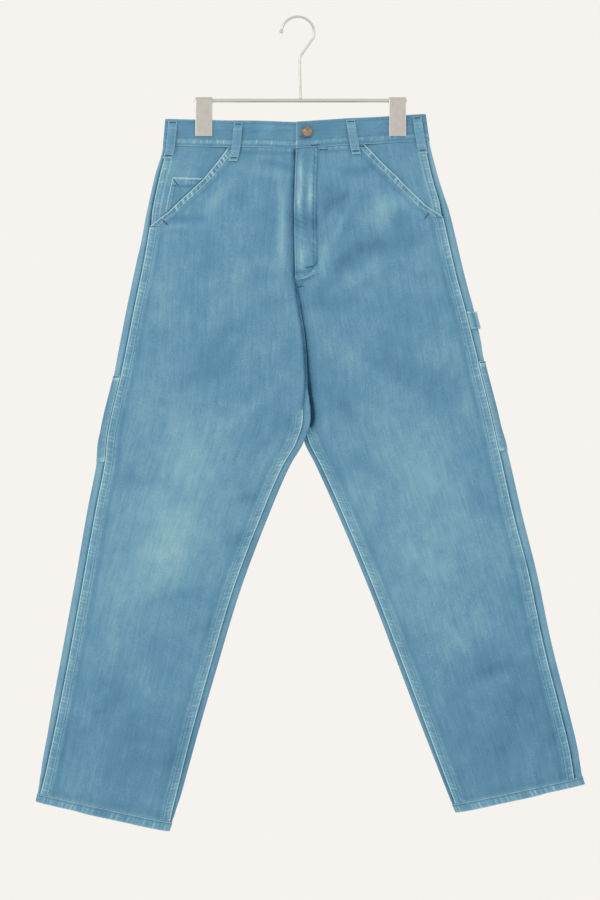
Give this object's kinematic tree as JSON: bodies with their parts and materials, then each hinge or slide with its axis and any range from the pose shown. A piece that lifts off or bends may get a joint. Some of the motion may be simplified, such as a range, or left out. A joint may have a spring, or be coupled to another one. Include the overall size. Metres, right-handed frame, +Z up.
{
  "type": "carpenter jeans on a clip hanger",
  "caption": "Washed blue carpenter jeans with slanted front pockets, tool pockets and a hammer loop, hung flat from a clip hanger.",
  "frame": {"origin": "inside top of the hanger's hook, where a rod holds it", "axes": "+Z up along the hanging garment, the front of the garment faces -Y, the wearer's left is +X"},
  "size_m": [0.8523, 0.0514, 1.2641],
  "materials": {
    "twill": "garment-washed mid blue cotton twill, matt",
    "rubbed_twill": "the same cotton twill, paler where it is doubled and rubbed, matt",
    "old_metal": "dull copper-grey metal button, worn",
    "steel": "bright plated steel wire, satin"
  },
  "bodies": {
    "root": {"front_right": "twill", "front_left": "twill", "back_right": "twill", "back_left": "twill", "waistband": "twill", "bearer_right": "twill", "bearer_left": "twill", "tool_pocket_right": "twill", "tool_pocket_left": "twill", "back_pocket_right": "twill", "back_pocket_left": "twill", "hammer_loop": "twill", "fly": "twill", "pocket_edge_right": "rubbed_twill", "pocket_edge_left": "rubbed_twill", "outseam_right": "rubbed_twill", "outseam_left": "rubbed_twill", "inseam_right": "rubbed_twill", "inseam_left": "rubbed_twill", "coin_pocket": "rubbed_twill", "hem_right": "rubbed_twill", "hem_left": "rubbed_twill", "belt_loop_front_right": "rubbed_twill", "belt_loop_side_right": "rubbed_twill", "belt_loop_front_left": "rubbed_twill", "belt_loop_side_left": "rubbed_twill", "belt_loop_back_right": "rubbed_twill", "belt_loop_back_left": "rubbed_twill", "belt_loop_back_centre": "rubbed_twill", "button": "old_metal", "hanger_hook": "steel", "hanger_bar": "steel", "hanger_clip_right": "steel", "hanger_clip_left": "steel"}
  },
  "joints": []
}
